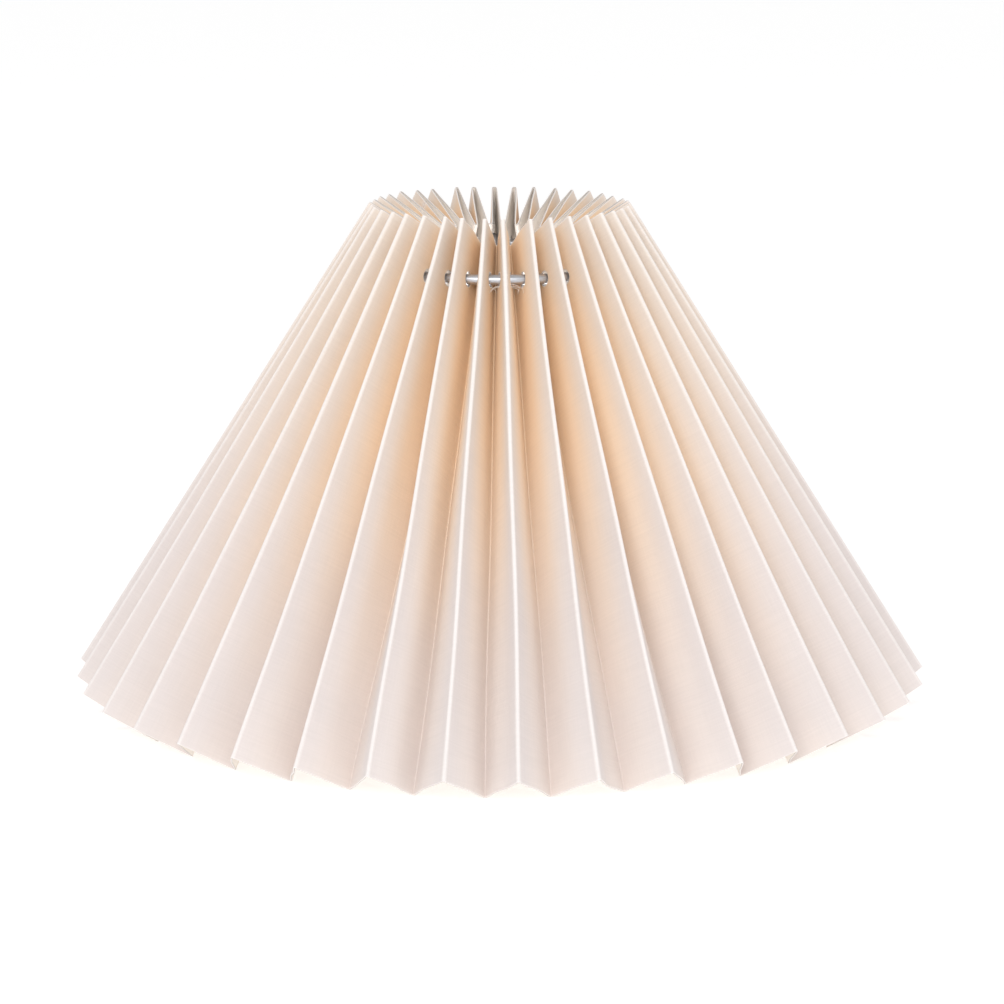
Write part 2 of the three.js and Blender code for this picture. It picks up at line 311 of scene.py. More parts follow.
def find_crossings():
    """The place along and down every wall where the ring passes, after six corrections."""
    wall = np.arange(FOLDS)
    along = np.where(wall % 2 == 0, HOLE_FROM_FOLD, WALL_WIDTH - HOLE_FROM_FOLD)
    down = np.full(FOLDS, HOLE_FROM_RIM)
    step = 0.01 * MM
    for _ in range(6):
        error = ring_error(wall, along, down)
        by_along = (ring_error(wall, along + step, down) - error) / step
        by_down = (ring_error(wall, along, down + step) - error) / step
        slopes = np.stack([by_along, by_down], axis=-1)
        fix = np.linalg.solve(slopes, error[..., None])[..., 0]
        along = along - fix[:, 0]
        down = down - fix[:, 1]
    return along, down


hole_along, hole_down = find_crossings()
print(f"holes {hole_down.min() * 1000:.2f} to {hole_down.max() * 1000:.2f} mm below the rim, "
      f"{hole_along[::2].min() * 1000:.2f} to {hole_along[::2].max() * 1000:.2f} mm from the outer folds")

# %% [markdown]
# ## A grid with round holes in it
# The strip is a grid: columns crowd at the folds, where the sheet bends, and rows crowd at the holes. Each
# hole takes a square block of cells out of the grid and fills it with two rings of faces, which pass from
# the square to a circle. The strip starts and ends on one back wall, 7 mm from its outer fold, where
# the real one is joined.

# %% Lay out the strip's columns, rows and holes
SEAM_ALONG = 7.0 * MM
SEAM_GAP = 0.12 * MM
BLOCK = 2 * MM
BLOCK_CELLS = 4
BEND_STATIONS = np.array([0, 0.2, 0.4, 0.6, 0.85, 1.3]) * MM
WALL_STATIONS = np.array([3.2, 5.1]) * MM
HOLE_STATIONS = HOLE_FROM_FOLD + BLOCK * np.arange(-2, 3)
FAR_STATIONS = np.concatenate([[17.4 * MM], WALL_WIDTH - BEND_STATIONS[::-1]])
STATIONS = np.concatenate([BEND_STATIONS, WALL_STATIONS, HOLE_STATIONS, FAR_STATIONS])
ROWS_ABOVE = np.array([0, 0.4, 4, 8.5]) * MM
ROWS_AT_HOLES = HOLE_FROM_RIM + BLOCK * np.arange(-2, 3)
LONG_ROWS = 21
ROWS_BELOW = np.append(np.linspace(ROWS_AT_HOLES[-1], STRIP_WIDTH - 0.4 * MM, LONG_ROWS)[1:], STRIP_WIDTH)
ROWS = np.concatenate([ROWS_ABOVE, ROWS_AT_HOLES, ROWS_BELOW])


def strip_columns():
    """The wall and the place along it of every column, from the seam once round to the seam again. An odd
    wall runs from an inner fold to an outer one, so its stations are mirrored."""
    walls, places = [], []
    for number in range(SEAM_WALL, SEAM_WALL + FOLDS):
        stations = STATIONS if number % 2 == 0 else WALL_WIDTH - STATIONS[::-1]
        if number == SEAM_WALL:
            stations = stations[stations > SEAM_ALONG - SEAM_GAP]
        walls.append(np.full(len(stations) - 1, number))
        places.append(stations[:-1])
    last = STATIONS[STATIONS < SEAM_ALONG + SEAM_GAP]
    walls.append(np.full(len(last), SEAM_WALL + FOLDS))
    places.append(last)
    walls, places = np.concatenate(walls), np.concatenate(places)
    places[0] += SEAM_GAP / 2
    places[-1] -= SEAM_GAP / 2
    return walls, places


column_wall, column_along = strip_columns()
print(len(column_wall), "columns and", len(ROWS), "rows")

# %% [markdown]
# ## From a grid to a punched sheet
# The same steps serve the cloth, the film and the tape, so they are written once. A block of four by four
# cells becomes 32 faces: its 16 edge points join to a ring just outside the hole, and that ring joins to the
# hole's own edge.

# %% Grid with holes, and a sheet of some thickness
RING_OF_BLOCK = [(0, 0), (0, 1), (0, 2), (0, 3), (0, 4), (1, 4), (2, 4), (3, 4)]
RING_OF_BLOCK += [(4, 4), (4, 3), (4, 2), (4, 1), (4, 0), (3, 0), (2, 0), (1, 0)]
RIM_OF_HOLE = 0.35 * MM


def punched_grid(walls, alongs, downs, block_rows, block_columns, centres):
    """Every vertex's wall, distance along and distance down, and the four corners of every face. The grid is
    numbered row by row. centres holds each hole's place along and down."""
    rows, columns = len(downs), len(walls)
    corner = np.arange(rows * columns).reshape(rows, columns)
    cells = np.stack([corner[:-1, :-1], corner[1:, :-1], corner[1:, 1:], corner[:-1, 1:]], axis=-1)
    kept = np.ones((rows - 1, columns - 1), dtype=bool)
    inside = np.arange(BLOCK_CELLS)
    block_row_numbers = block_rows[:, None, None] + inside[:, None]
    block_column_numbers = block_columns[:, None, None] + inside[None, :]
    kept[block_row_numbers, block_column_numbers] = False
    ring = np.array(RING_OF_BLOCK)
    edge = corner[block_rows[:, None] + ring[:, 0], block_columns[:, None] + ring[:, 1]]
    turn = np.radians(-135 + 22.5 * np.arange(16))
    holes = len(block_rows)
    near = rows * columns + np.arange(holes * 16).reshape(holes, 16)
    bore = near + holes * 16
    faces = [cells[kept]]
    for wide, narrow in ((edge, near), (near, bore)):
        loop = np.stack([wide, narrow, np.roll(narrow, -1, axis=1), np.roll(wide, -1, axis=1)], axis=-1)
        faces.append(loop.reshape(-1, 4))
    wall = [np.tile(walls, rows)]
    along = [np.tile(alongs, rows)]
    down = [np.repeat(downs, columns)]
    for radius in (HOLE_RADIUS + RIM_OF_HOLE, HOLE_RADIUS):
        wall.append(np.repeat(walls[block_columns], 16))
        along.append((centres[:, 0, None] + radius * np.cos(turn)).ravel())
        down.append((centres[:, 1, None] + radius * np.sin(turn)).ravel())
    return np.concatenate(wall), np.concatenate(along), np.concatenate(down), np.concatenate(faces)


def thickened(points, normals, faces, outer, inner):
    """A closed skin round a sheet: one layer moved along the normals by `outer`, one by `inner`, and a band
    of faces along every edge that only one face uses. The last result is 1 at a cut edge and 0 elsewhere."""
    count = len(points)
    starts = faces.ravel()
    ends = np.roll(faces, -1, axis=1).ravel()
    open_edge = ~np.isin(starts * count + ends, ends * count + starts)
    a, b = starts[open_edge], ends[open_edge]
    band = np.stack([b, a, a + count, b + count], axis=-1)
    both = np.concatenate([points + outer * normals, points + inner * normals])
    cut = np.zeros(2 * count)
    cut[band] = 1
    return both, np.concatenate([faces, faces[:, ::-1] + count, band]), cut


def add_mesh(name, points, faces, sharp_degrees=50, uv=None, cut=None):
    """A mesh object at the origin. Vertices that no face uses are dropped. uv is a flat place for every
    vertex, in metres, and goes into a UV map called `strip`. cut goes into an attribute called `cut`."""
    used = np.unique(faces)
    number = np.zeros(len(points), dtype=int)
    number[used] = np.arange(len(used))
    faces = number[faces]
    mesh = bpy.data.meshes.new(name)
    mesh.from_pydata(points[used].tolist(), [], faces.tolist())
    if uv is not None:
        layer = mesh.uv_layers.new(name="strip")
        layer.data.foreach_set("uv", uv[used][faces.ravel()].astype(np.float32).ravel())
    if cut is not None:
        mesh.attributes.new("cut", "FLOAT", "POINT").data.foreach_set("value", cut[used])
    mesh.shade_smooth()
    mesh.set_sharp_from_angle(angle=math.radians(sharp_degrees))
    mesh.update()
    made = bpy.data.objects.new(name, mesh)
    bpy.context.scene.collection.objects.link(made)
    return made


print("a block's ring has", len(RING_OF_BLOCK), "points")

# %% [markdown]
# ## Cloth outside, film inside
# The laminate is two sheets glued face to face. The cloth is the outer half of the thickness and the film the
# inner half, with a hundredth of a millimetre of glue between them. Both share one grid, so the folds and the
# holes agree.

# %% Build the strip
first_station = np.where(column_wall % 2 == 0, HOLE_STATIONS[0], WALL_WIDTH - HOLE_STATIONS[-1])
on_station = np.abs(column_along - first_station) < 0.1 * MM
block_column = np.flatnonzero(on_station & (column_wall < SEAM_WALL + FOLDS))
block_wall = column_wall[block_column] % FOLDS
block_row = np.full(FOLDS, len(ROWS_ABOVE))
centre = np.stack([hole_along[block_wall], hole_down[block_wall]], axis=-1)
strip = punched_grid(column_wall, column_along, ROWS, block_row, block_column, centre)
strip_wall, strip_along, strip_down, strip_faces = strip
strip_mid = strip_point(strip_wall, strip_along, strip_down)
strip_out = strip_normal(strip_wall, strip_along, strip_down)
round_strip = (strip_wall - SEAM_WALL) * WALL_WIDTH + strip_along - SEAM_ALONG
strip_uv = np.stack([round_strip, strip_down], axis=-1)
GLUE = 0.005 * MM


def strip_layer(name, outer, inner):
    """One of the laminate's two sheets."""
    points, faces, cut = thickened(strip_mid, strip_out, strip_faces, outer, inner)
    return add_mesh(name, points, faces, uv=np.concatenate([strip_uv, strip_uv]), cut=cut)


cloth = strip_layer("cloth", CLOTH_THICKNESS / 2, GLUE)
film = strip_layer("film", -GLUE, -CLOTH_THICKNESS / 2)

# %% [markdown]
# ## Seam tape
# The strip's two ends meet edge to edge on a back wall, and a tape stuck to the film's side holds them. It is
# a plain adhesive tape, punched together with the wall.

# %% Build the tape
TAPE_STATIONS = np.array([4.5, 6.1, 7.7, 9.35, 11.0, 12.65, 14.3, 16.5]) * MM
TAPE_TOP_ROWS = np.array([2, 7.5, 13.5, 15.15, 16.8, 18.45, 20.1])
TAPE_ROWS = np.concatenate([TAPE_TOP_ROWS, np.linspace(28, 193.3, 16)]) * MM
TAPE_THICKNESS = 0.25 * MM
TAPE_LIFT = 0.05 * MM
tape_grid = punched_grid(
    np.full(len(TAPE_STATIONS), SEAM_WALL),
    TAPE_STATIONS,
    TAPE_ROWS,
    np.array([2]),
    np.array([2]),
    np.array([[hole_along[SEAM_WALL], hole_down[SEAM_WALL]]]),
)
tape_wall, tape_along, tape_down, tape_faces = tape_grid
tape_lifted = -CLOTH_THICKNESS / 2 - TAPE_LIFT
tape_points, tape_quads, tape_cut = thickened(
    strip_point(tape_wall, tape_along, tape_down),
    strip_normal(tape_wall, tape_along, tape_down),
    tape_faces,
    tape_lifted,
    tape_lifted - TAPE_THICKNESS,
)
tape_uv = np.stack([tape_along, tape_down], axis=-1)
tape = add_mesh("tape", tape_points, tape_quads, uv=np.concatenate([tape_uv, tape_uv]), cut=tape_cut)
print("tape of", len(tape.data.polygons), "faces")

# %% [markdown]
# ## Wire
# Every wire part is drawn, cut and bent round wire, so one function sweeps a round section along a path. The
# path lies in a plane, and the plane's own direction and the one square to it and to the path carry the
# section round. The radius may change along the path, which gives the ends their small cutting chamfers.

# %% Sweep a round section along a path
WIRE_SIDES = 20
CHAMFER = 0.3 * MM
UP = np.array([0.0, 0.0, 1.0])


def closed_tube(rows, sides):
    """Faces of a tube whose points are numbered row by row. Both ends are closed by four-sided faces that
    share a middle point; the two middle points come last."""
    number = np.arange(rows * sides).reshape(rows, sides)
    after = np.roll(number, -1, axis=1)
    around = np.stack([number[:-1], number[1:], after[1:], after[:-1]], axis=-1).reshape(-1, 4)
    pairs = np.arange(0, sides, 2)
    trio = np.stack([pairs, pairs + 1, (pairs + 2) % sides], axis=-1)
    first = np.column_stack([np.full(len(pairs), number.size), number[0][trio]])
    last = np.column_stack([np.full(len(pairs), number.size + 1), number[-1][trio[:, ::-1]]])
    return np.concatenate([around, first, last])


def swept(path, across, radius, sides=WIRE_SIDES):
    """Points and faces of a wire: `across` is a direction square to the whole path, or one for each point,
    and `radius` is one number, one for each point, or one for each point and side."""
    count = len(path)
    forward = unit(np.gradient(path, axis=0))
    across = np.broadcast_to(across, path.shape)
    across = unit(across - (across * forward).sum(-1, keepdims=True) * forward)
    square = np.cross(across, forward)
    turn = 2 * math.pi * np.arange(sides) / sides
    radius = np.asarray(radius, dtype=float)
    if radius.ndim < 2:
        radius = np.repeat(np.broadcast_to(radius, count)[:, None], sides, axis=1)
    spoke = np.cos(turn)[None, :, None] * across[:, None] + np.sin(turn)[None, :, None] * square[:, None]
    skin = path[:, None] + radius[..., None] * spoke
    return np.concatenate([skin.reshape(-1, 3), path[:1], path[-1:]]), closed_tube(count, sides)


def joined(parts):
    """Several (points, faces) as one."""
    offsets = np.cumsum([0] + [len(points) for points, _ in parts[:-1]])
    faces = np.concatenate([faces + offset for (_, faces), offset in zip(parts, offsets)])
    return np.concatenate([points for points, _ in parts]), faces


def chamfered(path, radius):
    """A wire's radius at each point of its path, less within a chamfer's length of either end."""
    along = np.concatenate([[0], np.cumsum(np.linalg.norm(np.diff(path, axis=0), axis=1))])
    from_end = np.minimum(along, along[-1] - along)
    return radius - np.clip(CHAMFER - from_end, 0, CHAMFER) * 0.7


def outwards_and_aside(angle):
    """The level directions away from the axis and square to that, at an angle from the front."""
    return np.array([math.sin(angle), -math.cos(angle), 0]), np.array([math.cos(angle), math.sin(angle), 0])


print("a wire has", WIRE_SIDES, "sides unless told otherwise")

# %% [markdown]
# ## Carrier ring and its sleeve
# The ring is one length of 3.5 mm wire, bent to a circle after it was threaded. Its two cut ends meet inside
# a short crimped tube. The sleeve stands midway between two arms, where nothing hides under it.

# %% Bend the ring
RING_GAP = 1.0 * MM
RING_SIDES = 28
sleeve_low, sleeve_high = box_of("ring_sleeve")
sleeve_middle = (sleeve_low + sleeve_high) / 2
JOINT_ANGLE = math.atan2(sleeve_middle[0], -sleeve_middle[1])
SLEEVE_LENGTH = 12.0 * MM
SLEEVE_RADIUS = (sleeve_high[2] - sleeve_low[2]) / 2
SLEEVE_WALL = 0.4 * MM
SLEEVE_BORE = SLEEVE_RADIUS - SLEEVE_WALL


def ring_path(angles):
    """Points of the ring's circle at angles from the front."""
    level = np.full_like(angles, RING_HEIGHT)
    return np.stack([RING_RADIUS * np.sin(angles), -RING_RADIUS * np.cos(angles), level], axis=-1)


half_gap = RING_GAP / 2 / RING_RADIUS
chamfer_steps = np.array([0, 0.15, 0.3]) * MM / RING_RADIUS
ring_turn = np.concatenate([
    half_gap + chamfer_steps,
    np.linspace(half_gap, 2 * math.pi - half_gap, 362)[2:-2],
    2 * math.pi - half_gap - chamfer_steps[::-1],
])
ring_line = ring_path(JOINT_ANGLE + ring_turn)
ring_skin = swept(ring_line, UP, chamfered(ring_line, RING_WIRE / 2), RING_SIDES)
ring = add_mesh("ring", *ring_skin, sharp_degrees=60)
print("ring joint", round(math.degrees(JOINT_ANGLE), 1), "degrees from the front")

# %% Crimp the sleeve


def crimped_sleeve():
    """A tube round the ring's ends. Two crimps press its top and bottom in by about a fifth of a millimetre,
    as the jaws of a crimping tool do, and bulge its sides by less than half as much. The bore follows, but
    never closer than the wire."""
    sides = RING_SIDES
    place = np.linspace(-SLEEVE_LENGTH / 2, SLEEVE_LENGTH / 2, 49)
    path = ring_path(JOINT_ANGLE + place / RING_RADIUS)
    crimp = np.exp(-(((np.abs(place) - 3.2 * MM) / (0.9 * MM)) ** 2))
    turn = 2 * math.pi * np.arange(sides) / sides
    press = 0.22 * MM * np.cos(turn) ** 4 - 0.08 * MM * np.sin(turn) ** 2
    dent = crimp[:, None] * press[None, :]
    end_round = np.clip(0.15 * MM - (SLEEVE_LENGTH / 2 - np.abs(place)), 0, None)
    outer = SLEEVE_RADIUS - dent - end_round[:, None]
    bore = np.maximum(SLEEVE_BORE - dent * 0.6, RING_WIRE / 2 + 0.03 * MM)
    skin, around = swept(path, UP, outer, sides)
    lining, inside = swept(path, UP, bore, sides)
    tube = len(place) * sides
    around = around[: (len(place) - 1) * sides]
    inside = inside[: (len(place) - 1) * sides][:, ::-1]
    number = np.arange(sides)
    after = np.roll(number, -1)
    last = tube - sides
    near = np.stack([number, after, after + tube, number + tube], axis=-1)
    far = np.stack([after, number, number + tube, after + tube], axis=-1) + last
    points = np.concatenate([skin[:tube], lining[:tube]])
    return points, np.concatenate([around, inside + tube, near, far])


sleeve = add_mesh("sleeve", *crimped_sleeve(), sharp_degrees=45)
print(f"sleeve radius {SLEEVE_RADIUS * 1000:.2f} mm over a bore of {SLEEVE_BORE * 1000:.2f} mm")

# %% [markdown]
# ## Three arms
# An arm is 1.8 mm wire: a level foot welded to the lampholder ring's edge, a bend, a straight rise inside a
# pleat's pocket, and a hook that goes under the carrier ring, round its outside and back over the top. Its
# straight part is the line from the bend that just touches the hook's circle.

# %% Bend the arms
HOOK_PLAY = 0.25 * MM
HOOK_RADIUS = (RING_WIRE + ARM_WIRE) / 2 + HOOK_PLAY
HOOK_TURN = math.radians(265)
ARM_FOOT = 7.0 * MM
BEND_RADIUS = 2.6 * MM
ARM_ANGLES = ARM_FOLDS * HALF_PLEAT


def arm_profile():
    """The arm's centre line as radius and height, from its foot to the hook's cut end."""
    bend = np.array([ARM_START + ARM_FOOT, HOLDER_HEIGHT])
    hook = np.array([RING_RADIUS, RING_HEIGHT])
    reach = np.linalg.norm(hook - bend)
    rise = math.atan2(*(hook - bend)[::-1]) - math.asin(HOOK_RADIUS / reach)
    cut = BEND_RADIUS * math.tan(rise / 2)
    foot_end = bend - np.array([cut, 0])
    fillet = foot_end + np.array([0, BEND_RADIUS])
    turn = np.linspace(-math.pi / 2, -math.pi / 2 + rise, 9)
    curve = fillet + BEND_RADIUS * np.stack([np.cos(turn), np.sin(turn)], axis=-1)
    start = np.array([ARM_START, HOLDER_HEIGHT])
    foot = start + np.array([0, 0.15, 0.3, 1.5, 3.0, 4.0])[:, None] * MM * np.array([1.0, 0.0])
    wrap = np.linspace(rise - math.pi / 2, rise - math.pi / 2 + HOOK_TURN, 60)
    wrapped = hook + HOOK_RADIUS * np.stack([np.cos(wrap), np.sin(wrap)], axis=-1)
    share = np.linspace(0, 1, 8)[1:-1, None]
    straight = curve[-1] + share * (wrapped[0] - curve[-1])
    return np.concatenate([foot, curve, straight, wrapped]), math.degrees(rise)


def arm_at(angle, profile):
    """The profile stood up in the plane through the axis at an angle from the front, and swept."""
    out, beside = outwards_and_aside(angle)
    path = profile[:, :1] * out + profile[:, 1:] * UP
    return swept(path, beside, chamfered(path, ARM_WIRE / 2))


arm_line, arm_rise = arm_profile()
arms = []
for number, angle in enumerate(ARM_ANGLES, 1):
    arms.append(add_mesh(f"arm_{number}", *arm_at(angle, arm_line), sharp_degrees=60))
print(f"arms rise at {arm_rise:.1f} degrees")

# %% [markdown]
# ## Lampholder ring
# The flat ring is stamped from sheet. The punch draws the upper edges round and leaves the lower ones nearly
# square. Three weld nuggets join the arms to its edge.

# %% Turn the ring's section about the axis
HOLDER_BORE_RADIUS = 20.75 * MM


def stamped_ring():
    """The section is a closed loop of radius and height, and is carried round the axis in 160 steps."""
    wide, narrow = HOLDER_RADIUS, HOLDER_BORE_RADIUS
    top, low = HOLDER_THICKNESS / 2, -HOLDER_THICKNESS / 2
    drawn, burr = 0.35 * MM, 0.08 * MM
    quarter = np.radians(np.linspace(0, 90, 6))
    outer_top = np.stack([wide - drawn + drawn * np.cos(quarter), top - drawn + drawn * np.sin(quarter)], -1)
    inner_top = np.stack([narrow + drawn * (1 - np.sin(quarter)), top - drawn * (1 - np.cos(quarter))], -1)
    inner_low = np.array([[narrow, low + burr], [narrow + burr, low]])
    outer_low = np.array([[wide - burr, low], [wide, low + burr]])
    section = np.concatenate([outer_top, inner_top, inner_low, outer_low])
    steps = 160
    turn = 2 * math.pi * np.arange(steps) / steps
    radius, height = section[:, 0], section[:, 1] + HOLDER_HEIGHT
    points = np.stack([
        np.sin(turn)[:, None] * radius,
        -np.cos(turn)[:, None] * radius,
        np.broadcast_to(height, (steps, len(section))),
    ], axis=-1).reshape(-1, 3)
    number = np.arange(steps * len(section)).reshape(steps, len(section))
    here, there = number, np.roll(number, -1, axis=0)
    faces = np.stack([here, there, np.roll(there, -1, axis=1), np.roll(here, -1, axis=1)], axis=-1)
    return points, faces.reshape(-1, 4)


holder = add_mesh("holder", *stamped_ring(), sharp_degrees=40)
print("lampholder ring bore", round(HOLDER_BORE_RADIUS * 2000, 1), "mm")

# %% Weld the arms on


def weld_nugget(angle, seed):
    """A squashed ball over the joint of foot and ring edge, lumpy by a few waves of its own."""
    lumps = np.random.default_rng(seed)
    rows, columns = 13, 20
    polar = np.linspace(0, math.pi, rows)[1:-1, None]
    turn = (2 * math.pi * np.arange(columns) / columns)[None, :]
    ball = np.stack([
        np.sin(polar) * np.cos(turn), np.sin(polar) * np.sin(turn), np.cos(polar) * np.ones_like(turn)
    ], axis=-1).reshape(-1, 3)
    ball = np.concatenate([ball, [[0, 0, 1], [0, 0, -1]]])
    waves = lumps.normal(0, 2.2, (5, 3))
    swell = 1 + 0.07 * np.sin(ball @ waves.T + lumps.uniform(0, 6, 5)).sum(axis=1)
    size = np.array([1.5, 1.55, 1.12]) * MM
    local = ball * swell[:, None] * size
    out, beside = outwards_and_aside(angle)
    middle = (HOLDER_RADIUS + 0.25 * MM) * out + HOLDER_HEIGHT * UP
    points = middle + local[:, :1] * out + local[:, 1:2] * beside + local[:, 2:] * UP
    return points, closed_tube(rows - 2, columns)


welds = add_mesh("welds", *joined([weld_nugget(angle, 7 + i) for i, angle in enumerate(ARM_ANGLES)]))
print("three welds of", len(welds.data.polygons) // 3, "faces")

# %% [markdown]
# ## Loose threads
# Punching cuts the weave, and a few warp ends work loose at the lower edges of the holes. They hang outwards
# and down in short curls.

# %% Grow threads from the lower edges of some holes


def thread(hole, turn_degrees, length, seed):
    """A thread from the edge of a hole: it starts square to the wall, bends down as the square of the
    distance, and swings twice along the wall. Its section has six sides."""
    loose = np.random.default_rng(seed)
    turn = math.radians(turn_degrees)
    along = np.array([hole_along[hole] + HOLE_RADIUS * math.cos(turn)])
    down = np.array([hole_down[hole] + HOLE_RADIUS * math.sin(turn)])
    wall = np.array([hole])
    face = strip_normal(wall, along, down)[0]
    root = strip_point(wall, along, down)[0] + face * 0.12 * MM
    aside = unit(strip_point(wall, along + MM, down)[0] - strip_point(wall, along, down)[0])
    t = np.linspace(0, 1, 18)[:, None]
    swing = loose.normal(0, 0.25) * t + 0.16 * np.sin(t * loose.uniform(5, 8)) * t
    out = 0.62 * np.sin(t * loose.uniform(1.5, 2.4))
    fall = loose.uniform(0.45, 0.85) * t**1.5
    path = root + length * (out * face + swing * aside - fall * UP)
    width = 0.10 * MM * (1 - 0.5 * t[:, 0])
    return swept(path, aside, width, sides=6)


THREADS = [
    (0, 95, 7.0), (0, 120, 5.0), (0, 60, 4.0), (75, 80, 6.5), (75, 100, 4.5), (2, 95, 3.0), (74, 90, 3.5),
    (4, 100, 2.5), (71, 85, 3.0), (9, 90, 4.0), (15, 75, 3.0), (22, 110, 3.5), (33, 90, 4.5), (41, 80, 3.0),
    (49, 100, 3.5), (56, 90, 4.0), (63, 95, 3.0), (68, 85, 3.5),
]
threads = add_mesh(
    "threads",
    *joined([thread(hole, turn, length * MM, 100 + i) for i, (hole, turn, length) in enumerate(THREADS)]),
)
print(len(THREADS), "threads")

# %% [markdown]
# ## Writing a material as arithmetic
# Patterns here are sums and products of numbers along and across the strip. `Number` wraps one output of a
# node, and its operators add the Math nodes, so that a pattern reads as a formula.

# %% Numbers and nodes


class Number:
    """One number of a material. Arithmetic on it adds Math nodes to the material's tree."""

    def __init__(self, graph, socket):
        self.graph, self.socket = graph, socket

    def maths(self, operation, *others, clamp=False):
        """A Math node on this number and the others, in order."""
        settings = {"operation": operation, "use_clamp": clamp}
        node = self.graph.node("ShaderNodeMath", settings, dict(enumerate((self, *others))))
        return Number(self.graph, node.outputs[0])

    def __add__(self, other):
        return self.maths("ADD", other)

    def __mul__(self, other):
        return self.maths("MULTIPLY", other)

    def __sub__(self, other):
        return self.maths("SUBTRACT", other)

    def __truediv__(self, other):
        return self.maths("DIVIDE", other)

    def __pow__(self, other):
        return self.maths("POWER", other)

    def __rsub__(self, other):
        return self * -1 + other

    __radd__ = __add__
    __rmul__ = __mul__

    def sine(self):
        """The sine of this number, in radians."""
        return self.maths("SINE")

    def clamped(self):
        """This number kept between 0 and 1."""
        return self.maths("ADD", 0.0, clamp=True)

    def folded(self, size):
        """0 at even multiples of size, 1 at odd ones, and evenly between."""
        return self.maths("PINGPONG", size) / size

    def step(self, low, high):
        """0 up to low, 1 from high on, and a smooth step between. It falls instead if high is less."""
        settings = {"interpolation_type": "SMOOTHSTEP"}
        node = self.graph.node(
            "ShaderNodeMapRange", settings, {"Value": self, "From Min": low, "From Max": high}
        )
        return Number(self.graph, node.outputs[0])


class Graph:
    """A material's node tree."""

    def __init__(self, name):
        self.material = bpy.data.materials.new(name)
        self.material.use_nodes = True
        self.tree = self.material.node_tree
        self.tree.nodes.clear()

    def node(self, kind, settings=None, inputs=None):
        """Adds a node of a kind, with its settings, and its inputs set or linked by name or number."""
        made = self.tree.nodes.new(kind)
        for name, value in (settings or {}).items():
            setattr(made, name, value)
        for name, value in (inputs or {}).items():
            self.give(made.inputs[name], value)
        return made

    def give(self, socket, value):
        """Links a Number or an output to an input, or sets the input's own value."""
        if isinstance(value, Number):
            self.tree.links.new(value.socket, socket)
        elif isinstance(value, bpy.types.NodeSocket):
            self.tree.links.new(value, socket)
        else:
            socket.default_value = value

    def number(self, kind, output=0, settings=None, inputs=None):
        """A node whose output is used as a Number."""
        return Number(self, self.node(kind, settings, inputs).outputs[output])

    def along_and_down(self):
        """Distance along the strip and distance down from the rim, in metres, from the UV map."""
        flat = self.node("ShaderNodeUVMap", {"uv_map": "strip"})
        parts = self.node("ShaderNodeSeparateXYZ", None, {0: flat.outputs[0]})
        return Number(self, parts.outputs[0]), Number(self, parts.outputs[1])

    def from_axis(self):
        """Distance from the axis, and height, in metres, from the Object coordinates."""
        place = self.node("ShaderNodeTexCoord")
        parts = self.node("ShaderNodeSeparateXYZ", None, {0: place.outputs["Object"]})
        x, y, z = (Number(self, socket) for socket in parts.outputs)
        return (x * x + y * y) ** 0.5, z, x, y

    def noise(self, x, y, z, detail):
        """Noise at a place built of three numbers."""
        place = self.node("ShaderNodeCombineXYZ", None, {0: x, 1: y, 2: z})
        inputs = {"Vector": place.outputs[0], "Scale": 1.0, "Detail": detail, "Roughness": 0.5}
        return self.number("ShaderNodeTexNoise", 0, {"noise_dimensions": "3D"}, inputs)

    def mixed(self, factor, first, second):
        """A colour between two, by a factor."""
        node = self.node("ShaderNodeMix", {"data_type": "RGBA", "clamp_factor": True})
        self.give(node.inputs[0], factor)
        self.give(node.inputs[6], first)
        self.give(node.inputs[7], second)
        return node.outputs[2]

    def shaded(self, colour, amount):
        """A colour times a number."""
        node = self.node("ShaderNodeVectorMath", {"operation": "SCALE"})
        self.give(node.inputs[0], colour)
        self.give(node.inputs["Scale"], amount)
        return node.outputs[0]

    def bump(self, height, distance, strength=1.0):
        """A normal raised by a height of 0 to 1, times a distance."""
        inputs = {"Height": height, "Distance": distance, "Strength": strength}
        return self.node("ShaderNodeBump", None, inputs).outputs[0]

    def finish(self, inputs):
        """The surface: one Principled shader with these inputs."""
        surface = self.node("ShaderNodeBsdfPrincipled", None, inputs)
        self.node("ShaderNodeOutputMaterial", None, {"Surface": surface.outputs[0]})
        return self.material


print("a material's numbers add Math nodes of their own")

# %% [markdown]
# ## Cloth
# The cloth is a plain weave of unbleached yarn, thicker and thinner in turns, so that short weft slubs show
# as faint streaks round the shade. Light between the walls bounces from cream to cream and grows warmer each
# time. The renderer does some of this. The rest, which comes through the sheet from the lit film, is put in
# as a painted warm glow towards the inner folds, strongest in the upper half where the pockets are deep and
# narrow. The cream is also painted warmer towards the rim, as painted shade, and the outer folds get a
# painted highlight.

# %% Cloth material
HEM_CREAM = (0.780, 0.715, 0.695, 1.0)
# Painted warm shade: the cloth is painted this warmer cream near the rim, where the pockets are deep.
RIM_CREAM_PAINTED_WARM_SHADE = (0.830, 0.738, 0.660, 1.0)
# Painted glow: the warm colour that light bouncing and passing between the walls gives the pockets.
POCKET_GLOW_TINT = (0.985, 0.765, 0.545, 1.0)
# Pale cut fibre at the cut edges, and a painted highlight along the outer folds.
BARE_FIBRE_AND_CREST_HIGHLIGHT = (0.930, 0.885, 0.865, 1.0)


